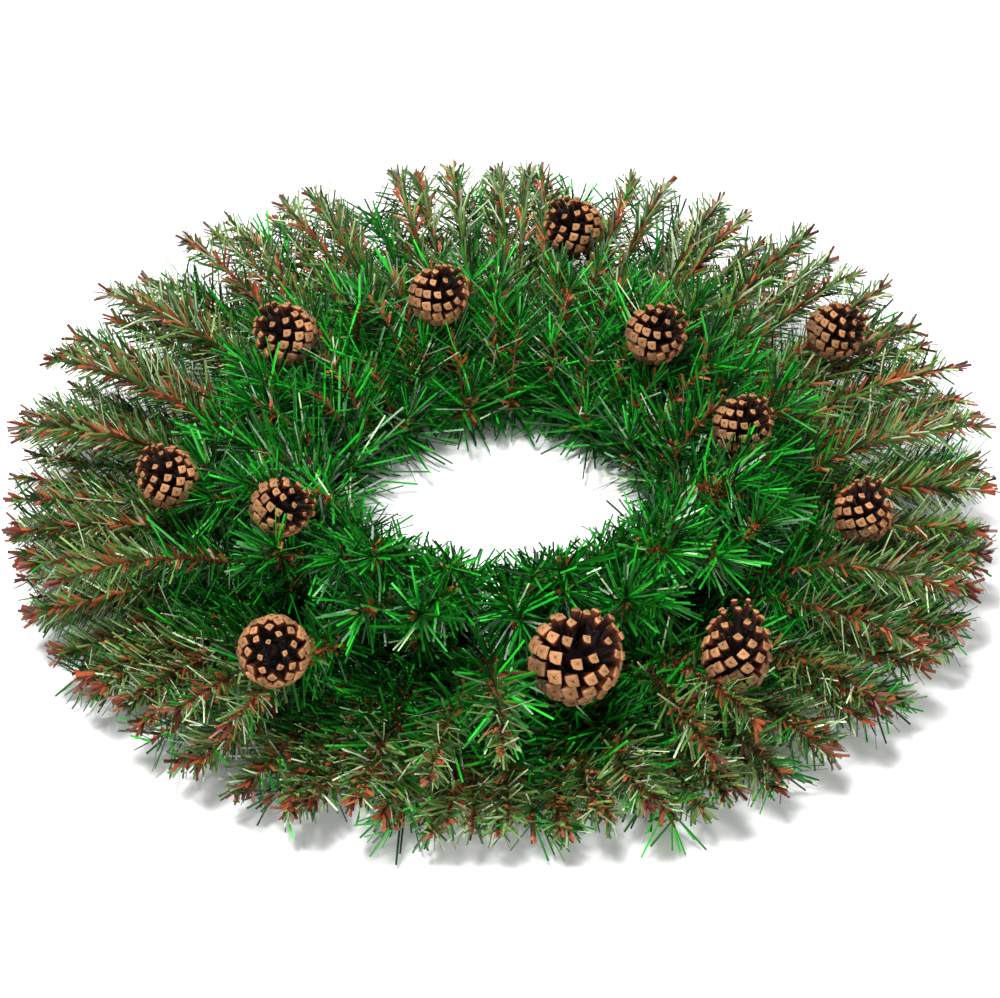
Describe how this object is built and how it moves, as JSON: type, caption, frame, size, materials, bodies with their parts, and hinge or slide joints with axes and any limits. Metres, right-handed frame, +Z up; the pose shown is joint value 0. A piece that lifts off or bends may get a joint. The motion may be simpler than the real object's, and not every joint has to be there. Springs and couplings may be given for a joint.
{
  "type": "spruce wreath",
  "caption": "Artificial spruce wreath: a wire ring with radiating brush-like rim sprays, long-needled green sprays round the hole and pine cones among them.",
  "frame": {"origin": "middle of the ring at the level of the flat underside it rests on", "axes": "+Z up out of the wreath's face, away from what it lies on or hangs against; +Y away from the picture's viewer; +X to the viewer's right"},
  "size_m": [0.5937, 0.5971, 0.1168],
  "materials": {
    "ring_wire": "dark green paint, satin",
    "rim_needles": "muted green and red-brown plastic needles",
    "green_needles": "vivid green plastic needles with a slight sheen",
    "cone_scales": "dry woody scales, dull"
  },
  "bodies": {
    "root": {"wire_ring": "ring_wire", "rim_spray_01": "rim_needles", "rim_spray_02": "rim_needles", "rim_spray_03": "rim_needles", "rim_spray_04": "rim_needles", "rim_spray_05": "rim_needles", "rim_spray_06": "rim_needles", "rim_spray_07": "rim_needles", "rim_spray_08": "rim_needles", "rim_spray_09": "rim_needles", "rim_spray_10": "rim_needles", "rim_spray_11": "rim_needles", "rim_spray_12": "rim_needles", "rim_spray_13": "rim_needles", "rim_spray_14": "rim_needles", "rim_spray_15": "rim_needles", "rim_spray_16": "rim_needles", "rim_spray_17": "rim_needles", "rim_spray_18": "rim_needles", "rim_spray_19": "rim_needles", "rim_spray_20": "rim_needles", "rim_spray_21": "rim_needles", "rim_spray_22": "rim_needles", "rim_spray_23": "rim_needles", "rim_spray_24": "rim_needles", "green_spray_01": "green_needles", "green_spray_02": "green_needles", "green_spray_03": "green_needles", "green_spray_04": "green_needles", "green_spray_05": "green_needles", "green_spray_06": "green_needles", "green_spray_07": "green_needles", "green_spray_08": "green_needles", "green_spray_09": "green_needles", "green_spray_10": "green_needles", "green_spray_11": "green_needles", "green_spray_12": "green_needles", "green_spray_13": "green_needles", "green_spray_14": "green_needles", "green_spray_15": "green_needles", "green_spray_16": "green_needles", "green_spray_17": "green_needles", "green_spray_18": "green_needles", "green_spray_19": "green_needles", "green_spray_20": "green_needles", "pine_cone_01": "cone_scales", "pine_cone_02": "cone_scales", "pine_cone_03": "cone_scales", "pine_cone_04": "cone_scales", "pine_cone_05": "cone_scales", "pine_cone_06": "cone_scales", "pine_cone_07": "cone_scales", "pine_cone_08": "cone_scales", "pine_cone_09": "cone_scales", "pine_cone_10": "cone_scales", "pine_cone_11": "cone_scales", "pine_cone_12": "cone_scales", "pine_cone_13": "cone_scales"}
  },
  "joints": []
}
